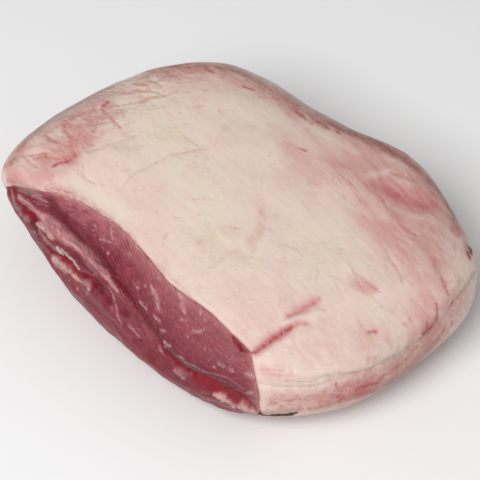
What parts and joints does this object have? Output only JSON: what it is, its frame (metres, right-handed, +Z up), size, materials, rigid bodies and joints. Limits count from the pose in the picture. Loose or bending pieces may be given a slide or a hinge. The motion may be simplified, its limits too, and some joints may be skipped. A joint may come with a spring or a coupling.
{
  "type": "beef top sirloin",
  "caption": "Whole raw boneless beef top sirloin, fat side up, with a cut lean face and a loose muscle flap under it.",
  "frame": {"origin": "middle of the footprint on the surface that the meat rests on", "axes": "+X from the thick end to the thin rounded end, +Y away from the uncovered lean meat, +Z up through the fat cap"},
  "size_m": [0.3277, 0.2631, 0.1149],
  "materials": {
    "lean_meat": "moist raw lean beef, mauve red",
    "fat_cap": "moist beef fat, cream to pale pink"
  },
  "bodies": {
    "root": {"lean_meat": "lean_meat", "fat_cap": "fat_cap"}
  },
  "joints": []
}
